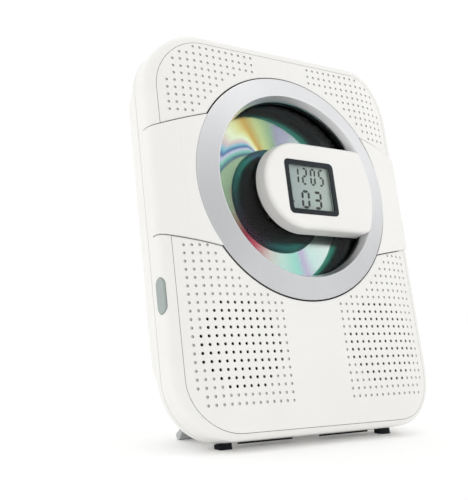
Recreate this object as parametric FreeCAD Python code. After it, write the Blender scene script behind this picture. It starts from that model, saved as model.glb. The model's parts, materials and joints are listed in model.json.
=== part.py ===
import FreeCAD, Part
import math
import os

os.makedirs("parts", exist_ok=True)

# Design frame: X to the right, Y into the case, Z up, with the case upright.
# The zero point is the disc axis at the flat front of the grille panels.
# At the end everything leans back and is moved so that the feet stand on Z = 0.
V = FreeCAD.Vector
LEAN_DEG = 13.0

# case
HALF_W = 90.0
TOP_Z = 86.5
LOW_Z = -140.3
CORNER_R = 34.0
WALL = 2.0
SPLIT_Y = 19.0
SPLIT_GAP = 0.3
LIP_GAP = 0.2
LIP_INSET = 3.4
LIP_REACH = 2.2
LIP_ROOT = 2.0
SCREW_X = 72.0
SCREW_Z = (58.0, -47.0, -104.0)
RIM_BACK_Y = 27.0
FLAT_HALF = 55.7
SWEEP_R = 88.0
EDGE_R = 5.0

# bulge of the back shell
BULGE_HALF = 83.5
BULGE_TOP = 80.0
BULGE_LOW = -121.0
BULGE_BACK = 46.0
BULGE_R = 28.0

# grille panels
PANEL_HALF = 84.3
PANEL_TOP = 81.0
PANEL_LOW = -137.1
PANEL_R = 29.0
PANEL_T = 1.8
SEAM = 0.25
LEDGE = 3.0
PITCH = 4.4
HOLE_R = 0.88
DIMPLE_R = 0.8
DIMPLE_DEPTH = 0.4
THIN_T = 0.8
THIN_R = 25.4
FIRST_COL_X = 17.83 * PITCH
LOWER_ROW_Z = -8.73 * PITCH
UPPER_ROW_Z = 17.75 * PITCH
LOWER_COLS = [(0, 3), (0, 4), (0, 5), (0, 6), (0, 7), (0, 8), (0, 11)] + [(0, 13)] * 11 + [(1, 13)] * 2
UPPER_COLS = [(4, 13), (2, 13), (1, 13), (1, 10), (1, 8), (0, 7), (0, 6), (0, 5), (0, 4), (0, 3)]
SPEAKER_COLS = {7: (4, 9), 8: (3, 10), 9: (2, 11), 10: (2, 11), 11: (1, 12), 12: (1, 12),
                13: (1, 12), 14: (1, 12), 15: (2, 11), 16: (3, 10), 17: (4, 9)}

# disc door
RING_R = 67.5
RING_EDGE_Y = -0.6
RING_TOP_R = 55.2
RING_TOP_Y = -4.6
RING_BORE_R = 53.3
RING_BACK_Y = 1.6
DOOR_GAP = 0.8
BELT_PROUD = 1.0
BELT_BACK = 1.4
BELT_SIDE = 0.8
WING_TOP_Z = 37.7
WING_LOW_Z = -38.4
WING_TOP_FALL = 0.28
WING_LOW_RISE = 0.20
WING_GAP = 0.6
WRAP_LEFT_Y = 13.0
WRAP_RIGHT_Y = 8.0
WINDOW_R = 57.0
WINDOW_Y = 4.2
WINDOW_T = 1.6
HINGE_X = 88.2
HINGE_Y = 10.5
HINGE_PIN_R = 0.8
KNUCKLE_R = 2.0
DOOR_KNUCKLES = [(10.0, 19.6), (-22.6, -13.0)]
CASE_KNUCKLES = [(20.0, 25.6), (-28.6, -23.0)]
PIN_Z = (-28.2, 25.2)

# display pod
POD_CX = 2.2
POD_R = 26.2
POD_FLARE = 1.3
POD_EDGE_R = 3.0
LCD_X = (-10.0, 26.2)
LCD_Z = (-17.9, 15.0)
LCD_R = 3.0
LCD_RIM = 2.9
LCD_DEPTH = 2.2

# disc and drive
DISC_R = 60.0
DISC_HOLE_R = 7.5
DISC_Y = 13.1
DISC_T = 1.2
WELL_R = 61.5
WELL_WALL = 2.0
DECK_Y = 4.4
DECK_T = 2.0
FLOOR_Y = 16.8
FLOOR_T = 1.5
DECK_R = 71.0
SHAFT_R = 1.0
CHASSIS_Y = 19.4
CHASSIS_T = 1.4
ROD_R = 1.5
ROD_X = 20.0
ROD_Y = 25.4
ROD_Z = (-72.0, -14.0)
LENS_Z = -24.0
GEAR_MODULE = 0.7
GEAR_AXIS_Z = -30.0
SMALL_GEAR_Y = 28.6
BIG_GEAR_Y = 31.4
BIG_GEAR_BACK = 33.0
STUD_R = 1.0
STUD_END_Y = 34.0
MOTOR_CAN_R = 12.0
SLED_CAN_R = 5.0
CARRIAGE_Y = (22.4, 28.4)
LENS_Y = (15.6, 18.35)
GROMMET_R = 3.0
GROMMET_PLACES = [(-32, 18), (28, 18), (-32, -74), (28, -74)]
RACK_X = -25.0
SMALL_TEETH = 12
BIG_TEETH = 30
PINION_TEETH = 8
PINION_SHAFT_R = 0.75
RACK_TEETH = 21

# speakers
SPEAKER_X = 49.9
SPEAKER_Z = -91.2
SPEAKER_R = 26.0
BASKET_R = 22.6
BASKET_Y = 6.2
MAGNET_R = 15.0
MAGNET_Y = 22.0

# battery
CELL_Z = (-102.0, -85.8)
BOX_Z = (-112.0, -75.8)
BAY_HALF = 57.0
DOOR_T = 1.9

# controls
BUTTON_Y = 11.2
BUTTON_Z = -64.0
BUTTON_W = 7.6
BUTTON_L = 19.0
KEY_Y = 12.5
KEY_W = 6.5
KEY_L = 14.0
KEY_PITCH = 19.0
KEY_NAMES = ["stop_key", "back_key", "play_key", "next_key", "mode_key"]
WHEEL_X = 81.6
WHEEL_Z = -62.0
WHEEL_Y = (12.0, 16.0)
WHEEL_R = 10.0

JACK_Y = 13.2
PHONES_Z = -88.0
POWER_Z = -102.5

# feet
FOOT_X = 56.6
FOOT_Y = 19.4
FOOT_LOW_Z = -143.0
FOOT_L = 8.0
FOOT_W = 6.4
STAND_HALF = 62.0
STAND_AXIS = (44.2, -124.0)
STAND_TOE_Y = 55.0
STAND_TOE_R = 2.2
STAND_PIN_R = 1.0

LEAN = math.radians(LEAN_DEG)


def block(x0, x1, y0, y1, z0, z1):
    return Part.makeBox(x1 - x0, y1 - y0, z1 - z0, V(x0, y0, z0))


def rodX(r, y, z, x0, x1):
    return Part.makeCylinder(r, x1 - x0, V(x0, y, z), V(1, 0, 0))


def rodY(r, x, z, y0, y1):
    return Part.makeCylinder(r, y1 - y0, V(x, y0, z), V(0, 1, 0))


def rodZ(r, x, y, z0, z1):
    return Part.makeCylinder(r, z1 - z0, V(x, y, z0), V(0, 0, 1))


def tubeY(r_out, r_in, x, z, y0, y1):
    return rodY(r_out, x, z, y0, y1).cut(rodY(r_in, x, z, y0 - 1, y1 + 1))


def prismY(points, y0, y1):
    face = Part.Face(Part.makePolygon([V(x, y0, z) for x, z in points + points[:1]]))
    return face.extrude(V(0, y1 - y0, 0))


def prismX(points, x0, x1):
    face = Part.Face(Part.makePolygon([V(x0, y, z) for y, z in points + points[:1]]))
    return face.extrude(V(x1 - x0, 0, 0))


def fuseAll(shapes):
    first = shapes[0]
    return first.multiFuse(shapes[1:]).removeSplitter() if len(shapes) > 1 else first


def group(shapes):
    return Part.makeCompound(shapes)


def mirrored(shape):
    return shape.mirror(V(0, 0, 0), V(1, 0, 0))


def roundedSlab(x0, x1, z0, z1, r, y0, y1):
    """A rounded rectangle in the front view, y0 to y1 deep."""
    slab = block(x0, x1, y0, y1, z0, z1)
    edges = [e for e in slab.Edges if abs(e.Vertexes[0].Y - e.Vertexes[1].Y) > 0.001]
    return slab.makeFillet(r, edges)


def filletAt(shape, r, wanted):
    """Round the edges whose middle point passes the test."""
    picked = []
    for e in shape.Edges:
        mid = e.valueAt((e.FirstParameter + e.LastParameter) / 2)
        if wanted(mid, e):
            picked.append(e)
    return shape.makeFillet(r, picked)


def behindFront(depth, back_y, half=HALF_W + 4):
    """Everything behind the swept front surface, offset inwards by depth."""
    r = SWEEP_R - depth
    u = half - FLAT_HALF
    edge_y = SWEEP_R - math.sqrt(r * r - u * u)
    mid_y = SWEEP_R - math.sqrt(r * r - u * u / 4)
    low = LOW_Z - 20

    def p(x, y):
        return V(x, y, low)

    edges = [
        Part.makeLine(p(-FLAT_HALF, depth), p(FLAT_HALF, depth)),
        Part.Arc(p(FLAT_HALF, depth), p(FLAT_HALF + u / 2, mid_y), p(half, edge_y)).toShape(),
        Part.makeLine(p(half, edge_y), p(half, back_y)),
        Part.makeLine(p(half, back_y), p(-half, back_y)),
        Part.makeLine(p(-half, back_y), p(-half, edge_y)),
        Part.Arc(p(-half, edge_y), p(-FLAT_HALF - u / 2, mid_y), p(-FLAT_HALF, depth)).toShape(),
    ]
    return Part.Face(Part.Wire(edges)).extrude(V(0, 0, TOP_Z + 20 - low))


def panelOutline(inset, y0, y1):
    return roundedSlab(-PANEL_HALF + inset, PANEL_HALF - inset, PANEL_LOW + inset, PANEL_TOP - inset,
                       PANEL_R - inset, y0, y1)


def wingOutline(grow, y0, y1, near=0.0, half=HALF_W + 6):
    """The belt's outline in the front view; the wings narrow towards the sides."""
    top_out = WING_TOP_Z + grow - WING_TOP_FALL * (half - FLAT_HALF)
    low_out = WING_LOW_Z - grow + WING_LOW_RISE * (half - FLAT_HALF)
    top_in = WING_TOP_Z + grow + WING_TOP_FALL * (FLAT_HALF - near)
    low_in = WING_LOW_Z - grow - WING_LOW_RISE * (FLAT_HALF - near)
    wing = prismY([(near, top_in), (half, top_out), (half, low_out), (near, low_in)], y0, y1)
    return wing if near > 0 else wing.fuse(mirrored(wing)).removeSplitter()


def frontShell():
    outer = roundedSlab(-HALF_W, HALF_W, LOW_Z, TOP_Z, CORNER_R, -5, SPLIT_Y)
    outer = outer.common(behindFront(0, SPLIT_Y))
    outer = filletAt(outer, EDGE_R, lambda m, e: m.y < SPLIT_Y - 1 and not isDepthLine(e))
    room = roundedSlab(-HALF_W + WALL, HALF_W - WALL, LOW_Z + WALL, TOP_Z - WALL, CORNER_R - WALL, -5, 30)
    room = room.common(behindFront(PANEL_T + 2.1, 30))
    shell = outer.cut(room)
    recess = panelOutline(0, -6, 30).cut(behindFront(PANEL_T + 0.1, 40))
    shell = shell.cut(recess).cut(panelOutline(LEDGE, -6, 12))
    notch = wingOutline(WING_GAP, -6, WRAP_LEFT_Y + 0.5)
    shell = shell.cut(notch)
    shell = shell.cut(releaseSlot(0.25)).cut(keySlots(0.25)).cut(wheelSlot())
    shell = shell.cut(rodX(3.2, JACK_Y, PHONES_Z, 80, 95)).cut(rodX(3.6, JACK_Y, POWER_Z, 80, 95))
    bosses = []
    for x, z in caseScrewPlaces():
        boss = rodY(3.5, x, z, 7.6, SPLIT_Y).cut(rodY(1.25, x, z, 8.4, SPLIT_Y + 1))
        rib_x = sorted((x + math.copysign(3, x), math.copysign(HALF_W - 1, x)))
        bosses.append(boss)
        bosses.append(block(rib_x[0], rib_x[1], 8.0, 9.4, z - 1, z + 1))
    for z0, z1 in CASE_KNUCKLES:
        bosses.append(rodZ(KNUCKLE_R, HINGE_X, HINGE_Y, z0, z1))
        bosses.append(block(HINGE_X - 0.4, HINGE_X + 1.4, HINGE_Y, WRAP_LEFT_Y + 1, z0, z1))
    shell = fuseAll([shell] + [b.common(roomForBosses()) for b in bosses])
    pin_bore = rodZ(HINGE_PIN_R + 0.03, HINGE_X, HINGE_Y, PIN_Z[0] - 0.1, PIN_Z[1] + 0.1)
    return shell.cut(pin_bore)


def roomForBosses():
    """Bosses and ribs stay inside the outline of the case."""
    return roundedSlab(-HALF_W - 0.3, HALF_W + 0.3, LOW_Z + 0.5, TOP_Z - 0.5, CORNER_R, 0, SPLIT_Y)


def isDepthLine(e):
    a, b = e.Vertexes[0].Point, e.Vertexes[-1].Point
    return abs(a.x - b.x) < 0.01 and abs(a.z - b.z) < 0.01 and abs(a.y - b.y) > 0.5


def caseScrewPlaces():
    return [(side * SCREW_X, z) for side in (-1, 1) for z in SCREW_Z]


def holePlaces(cols_by_row, first_z):
    """Grid places of one panel's left and right holes, as (row, column, x, z)."""
    places = []
    for row, (low, high) in enumerate(cols_by_row):
        for col in range(low, high + 1):
            x = FIRST_COL_X - col * PITCH
            z = first_z - row * PITCH
            places.append((row, col, -x, z))
            places.append((row, col, x, z))
    return places


def frontY(x):
    u = max(0.0, abs(x) - FLAT_HALF)
    return SWEEP_R - math.sqrt(SWEEP_R * SWEEP_R - u * u)


def grillePanel(upper):
    plate = panelOutline(SEAM, -6, 20).common(behindFront(0, 20)).cut(behindFront(PANEL_T, 30))
    plate = plate.cut(rodY(RING_R + DOOR_GAP, 0, 0, -9, 30))
    plate = plate.cut(wingOutline(WING_GAP, -9, 30))
    half = block(-100, 100, -10, 40, 0, 120) if upper else block(-100, 100, -10, 40, -160, 0)
    plate = plate.common(half)
    if not upper:
        thin = group([rodY(THIN_R, side * SPEAKER_X, SPEAKER_Z, -1, 20) for side in (-1, 1)])
        plate = plate.cut(thin.common(behindFront(THIN_T, 20)))
    cutters = []
    places = holePlaces(UPPER_COLS, UPPER_ROW_Z) if upper else holePlaces(LOWER_COLS, LOWER_ROW_Z)
    for row, col, x, z in places:
        low, high = (1, 0) if upper else SPEAKER_COLS.get(row, (1, 0))
        through = low <= col <= high
        depth = PANEL_T + 1 if through else DIMPLE_DEPTH
        y = frontY(x)
        cutters.append(rodY(HOLE_R if through else DIMPLE_R, x, z, y - 1.5, y + depth))
    return plate.cut(group(cutters))


def backShell():
    rim = roundedSlab(-HALF_W, HALF_W, LOW_Z, TOP_Z, CORNER_R, SPLIT_Y + SPLIT_GAP, RIM_BACK_Y)
    rim = filletAt(rim, 5.5, lambda m, e: m.y > RIM_BACK_Y - 0.01)
    bulge = roundedSlab(-BULGE_HALF, BULGE_HALF, BULGE_LOW, BULGE_TOP, BULGE_R, SPLIT_Y + SPLIT_GAP, BULGE_BACK)
    bulge = filletAt(bulge, 9.0, lambda m, e: m.y > BULGE_BACK - 0.01)
    body = rim.fuse(bulge)
    body = filletAt(body, 2.0, lambda m, e: abs(m.y - RIM_BACK_Y) < 0.01 and not isDepthLine(e))
    room = roundedSlab(-HALF_W + WALL, HALF_W - WALL, LOW_Z + WALL, TOP_Z - WALL, CORNER_R - WALL,
                       SPLIT_Y, RIM_BACK_Y - WALL)
    room = filletAt(room, 3.5, lambda m, e: m.y > RIM_BACK_Y - WALL - 0.01)
    deep = roundedSlab(-BULGE_HALF + WALL, BULGE_HALF - WALL, BULGE_LOW + WALL, BULGE_TOP - WALL,
                       BULGE_R - WALL, SPLIT_Y, BULGE_BACK - WALL)
    deep = filletAt(deep, 7.0, lambda m, e: m.y > BULGE_BACK - WALL - 0.01)
    body = body.cut(room).cut(deep).fuse(seamLip())
    wells = [rodY(4.6, x, z, RIM_BACK_Y - 4, BULGE_BACK - 0.5) for x, z in caseScrewPlaces()]
    bosses = [rodY(3.4, x, z, SPLIT_Y + SPLIT_GAP, RIM_BACK_Y) for x, z in caseScrewPlaces()]
    body = fuseAll([body] + wells + bosses)
    for x, z in caseScrewPlaces():
        body = body.cut(rodY(1.5, x, z, SPLIT_Y - 1, BULGE_BACK + 1))
        body = body.cut(rodY(3.2, x, z, RIM_BACK_Y - 2, BULGE_BACK + 1))
    body = body.cut(batteryDoorOpening())
    body = fuseAll([body] + standLugs())
    return body.cut(rodX(STAND_PIN_R + 0.03, STAND_AXIS[0], STAND_AXIS[1], -STAND_HALF - 0.2, STAND_HALF + 0.2))


def caseSlab(inset, y0, y1):
    """The case's front outline, drawn in by inset."""
    return roundedSlab(-HALF_W + inset, HALF_W - inset, LOW_Z + inset, TOP_Z - inset, CORNER_R - inset, y0, y1)


def seamLip():
    """A tongue along the seam; its root joins the back shell's wall, its free edge enters the front shell."""
    tongue = caseSlab(WALL + LIP_GAP, SPLIT_Y - LIP_REACH, SPLIT_Y + LIP_ROOT)
    root = caseSlab(WALL / 2, SPLIT_Y + SPLIT_GAP, SPLIT_Y + LIP_ROOT)
    return tongue.fuse(root).cut(caseSlab(LIP_INSET, SPLIT_Y - LIP_REACH - 1, SPLIT_Y + LIP_ROOT + 1))


def standLugs():
    y, z = STAND_AXIS
    lugs = []
    for x0, x1 in [(-STAND_HALF, -STAND_HALF + 5), (STAND_HALF - 5, STAND_HALF), (-3, 3)]:
        lugs.append(rodX(2.4, y, z, x0, x1))
        lugs.append(block(x0, x1, y - 2.2, y + 1.4, z, BULGE_LOW + 7.5))
    return lugs


def doorBelt():
    half = HALF_W + BELT_SIDE
    outer = block(-half, half, -9, 20, -50, 50).common(behindFront(-BELT_PROUD, 20))
    outer = filletAt(outer, EDGE_R, lambda m, e: abs(abs(m.x) - half) < 0.01 and m.y < 19 and isUpright(e))
    inner_half = HALF_W - 1.5
    inner = block(-inner_half, inner_half, -9, 22, -60, 60).common(behindFront(BELT_BACK, 22))
    inner = filletAt(inner, EDGE_R - 1.4,
                     lambda m, e: abs(abs(m.x) - inner_half) < 0.01 and m.y < 21 and isUpright(e))
    wing = softenWing(outer.common(wingOutline(0, -9, 30, 45)))
    skin = wing.fuse(mirrored(wing)).cut(inner)
    skin = skin.cut(block(-100, 0, WRAP_LEFT_Y, 30, -60, 60)).cut(block(0, 100, WRAP_RIGHT_Y, 30, -60, 60))
    skin = skin.cut(rodY(RING_R + 0.15, 0, 0, -9, RING_BACK_Y + 0.1)).cut(rodY(WINDOW_R + 1, 0, 0, -9, 30))
    carrier = tubeY(RING_R - 0.4, WINDOW_R + 0.2, 0, 0, RING_BACK_Y + 0.1, DECK_Y - 0.8)
    webs = []
    for side in (-1, 1):
        x0, x1 = sorted((side * 62, side * 74))
        web = block(x0, x1, 0.8, DECK_Y - 0.8, -28, 28)
        webs.append(web.cut(rodY(RING_R + 0.15, 0, 0, -9, RING_BACK_Y + 0.1)))
    knuckles = []
    for z0, z1 in DOOR_KNUCKLES:
        knuckles.append(rodZ(KNUCKLE_R, HINGE_X, HINGE_Y, z0, z1))
        knuckles.append(block(HINGE_X - 2.2, HINGE_X + 1.3, 6.0, HINGE_Y, z0, z1))
    tab = block(-HALF_W + 1.4, -86.2, 11.0, WRAP_LEFT_Y - 0.2, -31.2, -27.5)
    belt = fuseAll([skin, carrier, tab] + webs + knuckles)
    return belt.cut(rodZ(HINGE_PIN_R + 0.06, HINGE_X, HINGE_Y, -40, 40))


def softenWing(wing):
    """Round the outer edges along the wing's top and bottom."""
    return filletAt(wing, 0.9, lambda m, e: m.y < 19 and m.x > 46 and abs(m.z) > 20)


def isUpright(e):
    a, b = e.Vertexes[0].Point, e.Vertexes[-1].Point
    return abs(a.z - b.z) > 1 and abs(a.x - b.x) < 0.01 and abs(a.y - b.y) < 0.01


def silverRing():
    profile = [V(RING_R, RING_BACK_Y, 0), V(RING_R, RING_EDGE_Y, 0), V(RING_TOP_R, RING_TOP_Y, 0),
               V(RING_BORE_R, 0.2, 0), V(RING_BORE_R, RING_BACK_Y, 0), V(RING_R, RING_BACK_Y, 0)]
    ring = Part.Face(Part.makePolygon(profile)).revolve(V(0, 0, 0), V(0, 1, 0), 360)
    ring = filletAt(ring, 0.7, lambda m, e: abs(m.y - RING_TOP_Y) < 0.01)
    return filletAt(ring, 0.5, lambda m, e: abs(m.y - RING_EDGE_Y) < 0.01 and m.Length > 60)


def windowFrame():
    return tubeY(WINDOW_R, RING_BORE_R - 0.2, 0, 0, RING_BACK_Y + 0.1, WINDOW_Y - 0.05)


def doorWindow():
    return rodY(WINDOW_R, 0, 0, WINDOW_Y, WINDOW_Y + WINDOW_T)


def podOutline(r, right, y):
    top = Part.makeLine(V(right, y, r), V(POD_CX, y, r))
    end = Part.Arc(V(POD_CX, y, r), V(POD_CX - r, y, 0), V(POD_CX, y, -r)).toShape()
    low = Part.makeLine(V(POD_CX, y, -r), V(right, y, -r))
    close = Part.makeLine(V(right, y, -r), V(right, y, r))
    return Part.Wire([top, end, low, close])


def displayPod():
    face, root = podOutline(POD_R, 60, RING_TOP_Y), podOutline(POD_R + POD_FLARE, 60, WINDOW_Y - 0.05)
    pod = Part.makeLoft([face, root], True)
    pod = filletAt(pod, POD_EDGE_R, lambda m, e: abs(m.y - RING_TOP_Y) < 0.01 and m.x < 59)
    gap = 0.15
    bore = [V(0, RING_TOP_Y - 2, 0), V(RING_TOP_R - gap, RING_TOP_Y - 2, 0), V(RING_TOP_R - gap, RING_TOP_Y, 0),
            V(RING_BORE_R - gap, 0.2, 0), V(RING_BORE_R - 0.3, 0.2, 0), V(RING_BORE_R - 0.3, 9, 0), V(0, 9, 0),
            V(0, RING_TOP_Y - 2, 0)]
    bore = Part.Face(Part.makePolygon(bore)).revolve(V(0, 0, 0), V(0, 1, 0), 360)
    pod = pod.common(bore)
    grow = 0.1
    pod = pod.cut(roundedSlab(LCD_X[0] - grow, LCD_X[1] + grow, LCD_Z[0] - grow, LCD_Z[1] + grow, LCD_R,
                              RING_TOP_Y - 2, WINDOW_Y - 1.6))
    return pod


def displayFrame():
    frame = roundedSlab(LCD_X[0], LCD_X[1], LCD_Z[0], LCD_Z[1], LCD_R, RING_TOP_Y - 0.15, RING_TOP_Y + 5.2)
    opening = roundedSlab(LCD_X[0] + LCD_RIM, LCD_X[1] - LCD_RIM, LCD_Z[0] + LCD_RIM, LCD_Z[1] - LCD_RIM,
                          1.0, RING_TOP_Y - 2, RING_TOP_Y + 8)
    seat = block(LCD_X[0] + 1.4, LCD_X[1] - 1.4, RING_TOP_Y + LCD_DEPTH, RING_TOP_Y + 8,
                 LCD_Z[0] + 1.4, LCD_Z[1] - 1.4)
    return frame.cut(opening).cut(seat)


def displayGlass():
    return block(LCD_X[0] + 1.5, LCD_X[1] - 1.5, RING_TOP_Y + LCD_DEPTH + 0.05, RING_TOP_Y + 4.6,
                 LCD_Z[0] + 1.5, LCD_Z[1] - 1.5)


def displayBoard():
    return block(LCD_X[0] + 1.4, LCD_X[1] - 1.4, RING_TOP_Y + 5.3, WINDOW_Y - 1.7,
                 LCD_Z[0] + 1.4, LCD_Z[1] - 1.4)


def displayCover():
    return roundedSlab(LCD_X[0] + LCD_RIM + 0.05, LCD_X[1] - LCD_RIM - 0.05, LCD_Z[0] + LCD_RIM + 0.05,
                       LCD_Z[1] - LCD_RIM - 0.05, 1.0, RING_TOP_Y + 0.9, RING_TOP_Y + 1.5)


def hingePin():
    return rodZ(HINGE_PIN_R, HINGE_X, HINGE_Y, PIN_Z[0], PIN_Z[1])


def discDeck():
    plate = rodY(DECK_R, 0, 0, 0, 30).fuse(wingOutline(4, 0, 30, half=82.5))
    plate = plate.common(behindFront(DECK_Y, 30)).cut(behindFront(DECK_Y + DECK_T, 40))
    plate = plate.cut(rodY(WELL_R, 0, 0, -1, 40))
    wall = tubeY(WELL_R + WELL_WALL, WELL_R, 0, 0, DECK_Y + 0.6, FLOOR_Y + FLOOR_T)
    floor = rodY(WELL_R + 1, 0, 0, FLOOR_Y, FLOOR_Y + FLOOR_T)
    slot = block(-11, 11, 0, 40, -66, 0).common(rodY(WELL_R - 0.5, 0, 0, 0, 40))
    floor = floor.cut(rodY(16.5, 0, 0, 0, 40)).cut(slot)
    return fuseAll([plate, wall, floor])


def turntable():
    platter = rodY(14.0, 0, 0, DISC_Y + DISC_T + 0.05, DISC_Y + DISC_T + 2.2)
    collar = rodY(5.0, 0, 0, DISC_Y + DISC_T + 2.2, DISC_Y + DISC_T + 3.6)
    hub = rodY(DISC_HOLE_R - 0.1, 0, 0, DISC_Y - 1.6, DISC_Y + DISC_T + 0.05)
    hub = filletAt(hub, 1.2, lambda m, e: abs(m.y - (DISC_Y - 1.6)) < 0.01)
    return fuseAll([platter, collar, hub]).cut(rodY(SHAFT_R + 0.02, 0, 0, DISC_Y, 40))


def spindleShaft():
    return rodY(SHAFT_R, 0, 0, DISC_Y + 0.5, 26.0)


def disc():
    return tubeY(DISC_R, DISC_HOLE_R, 0, 0, DISC_Y, DISC_Y + DISC_T)


def chassis():
    plate = roundedSlab(-38, 34, -80, 24, 4, CHASSIS_Y, CHASSIS_Y + CHASSIS_T)
    plate = plate.fuse(roundedSlab(-50, -30, -42, -18, 4, CHASSIS_Y, CHASSIS_Y + CHASSIS_T))
    plate = plate.cut(rodY(MOTOR_CAN_R + 0.6, 0, 0, 0, 40)).cut(block(-14.2, 14.2, 0, 40, -76, -5))
    blocks = []
    for x in (-ROD_X, ROD_X):
        for z0, z1 in [(ROD_Z[0] - 2, ROD_Z[0] + 3), (ROD_Z[1] - 3, ROD_Z[1] + 2)]:
            blocks.append(block(x - 2.8, x + 2.8, CHASSIS_Y + 0.5, ROD_Y + 2.8, z0, z1))
    whole = fuseAll([plate, gearStud()] + blocks)
    for x in (-ROD_X, ROD_X):
        whole = whole.cut(rodZ(ROD_R + 0.01, x, ROD_Y, ROD_Z[0] - 0.1, ROD_Z[1] + 0.1))
    for x, z in GROMMET_PLACES:
        whole = whole.cut(rodY(GROMMET_R + 0.05, x, z, 0, 40))
    return whole


def grommets():
    y0, y1 = CHASSIS_Y - 0.9, CHASSIS_Y + CHASSIS_T + 1.6
    return group([tubeY(GROMMET_R, 1.3, x, z, y0, y1) for x, z in GROMMET_PLACES])


def spindleMotor():
    can = tubeY(MOTOR_CAN_R, SHAFT_R + 0.05, 0, 0, CHASSIS_Y + 0.1, 27.0)
    cap = rodY(5, 0, 0, 27.0, 28.4)
    flange = roundedSlab(-16, 16, -4.0, 8.0, 2, CHASSIS_Y + CHASSIS_T + 0.05, CHASSIS_Y + CHASSIS_T + 1.0)
    flange = flange.cut(rodY(MOTOR_CAN_R - 1, 0, 0, 0, 40))
    return fuseAll([can, cap, flange])


def guideRods():
    return group([rodZ(ROD_R, x, ROD_Y, ROD_Z[0], ROD_Z[1]) for x in (-ROD_X, ROD_X)])


def gearPlace():
    """Axis of the sled gear; its small wheel meshes with the rack."""
    return (RACK_X - GEAR_MODULE * SMALL_TEETH / 2, GEAR_AXIS_Z)


def pinionPlace():
    centre = GEAR_MODULE * (BIG_TEETH + PINION_TEETH) / 2 + 0.05
    return (gearPlace()[0] - centre, gearPlace()[1])


def toothedWheel(teeth, y0, y1, turn):
    """A spur wheel with straight-sided teeth, slimmed for backlash."""
    pitch_r = GEAR_MODULE * teeth / 2
    root_r = pitch_r - 0.95 * GEAR_MODULE
    tip_r = pitch_r + 0.75 * GEAR_MODULE
    step = 2 * math.pi / teeth
    points = []
    for i in range(teeth):
        a = i * step + turn
        for r, share in [(root_r, -0.30), (tip_r, -0.11), (tip_r, 0.11), (root_r, 0.30)]:
            points.append((r * math.cos(a + share * step), r * math.sin(a + share * step)))
    return prismY(points, y0, y1)


def sledGear():
    x, z = gearPlace()
    small = toothedWheel(SMALL_TEETH, SMALL_GEAR_Y, BIG_GEAR_Y, math.pi / SMALL_TEETH)
    big = toothedWheel(BIG_TEETH, BIG_GEAR_Y, BIG_GEAR_BACK, math.pi)
    wheel = fuseAll([small, big])
    wheel.translate(V(x, 0, z))
    return wheel.cut(rodY(STUD_R + 0.05, x, z, 0, 60))


def gearStud():
    x, z = gearPlace()
    post = rodY(STUD_R, x, z, CHASSIS_Y + 0.2, STUD_END_Y)
    foot = rodY(2 * STUD_R, x, z, CHASSIS_Y + 0.2, CHASSIS_Y + 2.2)
    clip = rodY(1.6 * STUD_R, x, z, STUD_END_Y, STUD_END_Y + 0.6)
    return fuseAll([post, foot, clip])


def pinion():
    x, z = pinionPlace()
    wheel = toothedWheel(PINION_TEETH, BIG_GEAR_Y, BIG_GEAR_BACK + 0.4, math.pi / PINION_TEETH)
    wheel.translate(V(x, 0, z))
    return fuseAll([wheel, rodY(PINION_SHAFT_R, x, z, 29.0, 34.2)])


def sledMotor():
    x, z = pinionPlace()
    can = rodY(SLED_CAN_R, x, z, CHASSIS_Y + CHASSIS_T + 0.05, BIG_GEAR_Y - 0.8)
    return can.cut(rodY(PINION_SHAFT_R + 0.05, x, z, 28.9, 40))


def carriage():
    base = block(-12.4, 12.4, CARRIAGE_Y[0], CARRIAGE_Y[1], LENS_Z - 13, LENS_Z + 11)
    tower = roundedSlab(-6, 6, LENS_Z - 4, LENS_Z + 4, 1.5, 16.4, CARRIAGE_Y[0] + 0.2)
    tower = tower.cut(rodY(3.1, 0, LENS_Z, 0, LENS_Y[1] + 0.05))
    ears = []
    for x in (-ROD_X, ROD_X):
        side = 1 if x > 0 else -1
        x0, x1 = sorted((side * 12, side * (ROD_X + 2.8)))
        ears.append(block(x0, x1, ROD_Y - 2.8, ROD_Y + 2.6, LENS_Z - 5, LENS_Z + 3))
    whole = fuseAll([base, tower] + ears)
    for x in (-ROD_X, ROD_X):
        whole = whole.cut(rodZ(ROD_R + 0.05, x, ROD_Y, -200, 200))
    return whole


def lens():
    drum = rodY(3.0, 0, LENS_Z, LENS_Y[0], LENS_Y[1])
    return filletAt(drum, 0.6, lambda m, e: abs(m.y - LENS_Y[0]) < 0.01)


def rack():
    """The rack's teeth face the sled gear on its left."""
    step = math.pi * GEAR_MODULE
    x, z = gearPlace()
    root_x = RACK_X + 0.95 * GEAR_MODULE
    tip_x = RACK_X - 0.75 * GEAR_MODULE
    back_x = RACK_X + 3.2
    points = []
    low = z - 3 * step
    for i in range(RACK_TEETH):
        mid = low + i * step
        points += [(root_x, mid - 0.30 * step), (tip_x, mid - 0.11 * step),
                   (tip_x, mid + 0.11 * step), (root_x, mid + 0.30 * step)]
    top = low + (RACK_TEETH - 1) * step + 0.6
    points += [(back_x, top), (back_x, low - 0.6)]
    return prismY(points, 28.45, 31.2)


def speakerBasket(side):
    x, z = side * SPEAKER_X, SPEAKER_Z
    flange = tubeY(SPEAKER_R, BASKET_R, x, z, BASKET_Y - 1.2, BASKET_Y)
    cup = Part.makeCone(BASKET_R + 1, 14.0, 9.0, V(x, BASKET_Y, z), V(0, 1, 0))
    cup = cup.cut(Part.makeCone(BASKET_R, 13.0, 9.0, V(x, BASKET_Y, z), V(0, 1, 0)))
    back = tubeY(14.0, 5.0, x, z, 15.2, 16.4)
    return fuseAll([flange, cup, back])


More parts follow.
